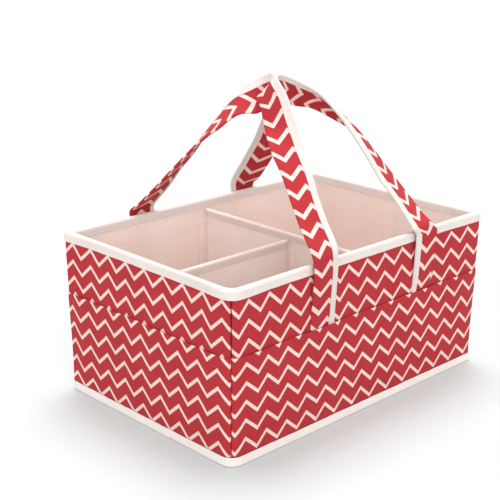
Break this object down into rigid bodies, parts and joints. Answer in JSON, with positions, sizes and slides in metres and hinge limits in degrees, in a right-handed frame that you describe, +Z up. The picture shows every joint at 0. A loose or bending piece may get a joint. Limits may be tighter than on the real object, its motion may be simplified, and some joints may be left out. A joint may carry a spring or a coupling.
{
  "type": "diaper caddy",
  "caption": "Rectangular fabric caddy on stiff boards, with bound edges, flat outer pockets, lift-out dividers and strap handles that swing up to meet over the middle.",
  "frame": {"origin": "middle of the footprint, on the surface that the caddy stands on", "axes": "+X along the long walls, +Y from the front long wall to the back one, +Z up"},
  "size_m": [0.3814, 0.267, 0.3405],
  "materials": {
    "chevron_canvas": "woven canvas printed with a cream chevron on red, matte",
    "binding_tape": "cream folded tape, matte, stitched",
    "lining_fabric": "plain blush lining, matte",
    "stiffener_board": "raw board",
    "fastener_tape": "hook and loop tape",
    "handle_padding": "plain webbing"
  },
  "bodies": {
    "caddy": {"front_wall_canvas": "chevron_canvas", "right_wall_canvas": "chevron_canvas", "back_wall_canvas": "chevron_canvas", "left_wall_canvas": "chevron_canvas", "front_pocket": "chevron_canvas", "right_pocket": "chevron_canvas", "back_pocket": "chevron_canvas", "left_pocket": "chevron_canvas", "base_canvas": "chevron_canvas", "base_board": "stiffener_board", "base_lining": "lining_fabric", "front_wall_board": "stiffener_board", "back_wall_board": "stiffener_board", "left_wall_board_front": "stiffener_board", "left_wall_board_back": "stiffener_board", "right_wall_board_front": "stiffener_board", "right_wall_board_back": "stiffener_board", "front_lining": "lining_fabric", "right_lining": "lining_fabric", "back_lining": "lining_fabric", "left_lining": "lining_fabric", "rim_binding": "binding_tape", "base_binding": "binding_tape", "front_wall_loop_strip": "fastener_tape", "back_wall_loop_strip": "fastener_tape", "left_wall_loop_strip": "fastener_tape", "front_handle_left_tab": "chevron_canvas", "front_handle_left_tab_binding": "binding_tape", "front_handle_right_tab": "chevron_canvas", "front_handle_right_tab_binding": "binding_tape", "back_handle_left_tab": "chevron_canvas", "back_handle_left_tab_binding": "binding_tape", "back_handle_right_tab": "chevron_canvas", "back_handle_right_tab_binding": "binding_tape"},
    "front_handle": {"front_handle_cover": "chevron_canvas", "front_handle_core": "handle_padding", "front_handle_binding": "binding_tape"},
    "back_handle": {"back_handle_cover": "chevron_canvas", "back_handle_core": "handle_padding", "back_handle_binding": "binding_tape"},
    "cross_divider": {"cross_divider_cover": "lining_fabric", "cross_divider_board": "stiffener_board", "cross_divider_binding": "binding_tape", "cross_divider_hook_front": "fastener_tape", "cross_divider_hook_back": "fastener_tape", "cross_divider_loop_strip": "fastener_tape"},
    "long_divider": {"long_divider_cover": "lining_fabric", "long_divider_board": "stiffener_board", "long_divider_binding": "binding_tape", "long_divider_hook_wall": "fastener_tape", "long_divider_hook_cross": "fastener_tape"}
  },
  "joints": [
    {"name": "front_handle_swing", "type": "hinge", "parent": "caddy", "child": "front_handle", "pos_m": [0.008, -0.133, 0.177], "axis": [1, 0, 0], "range_deg": [0, 160]},
    {"name": "back_handle_swing", "type": "hinge", "parent": "caddy", "child": "back_handle", "pos_m": [-0.008, 0.133, 0.177], "axis": [-1, 0, 0], "range_deg": [0, 160]},
    {"name": "cross_divider_lift", "type": "slide", "parent": "caddy", "child": "cross_divider", "axis": [0, 0, 1], "range_m": [0, 0.11]},
    {"name": "long_divider_lift", "type": "slide", "parent": "caddy", "child": "long_divider", "axis": [0, 0, 1], "range_m": [0, 0.1]}
  ]
}
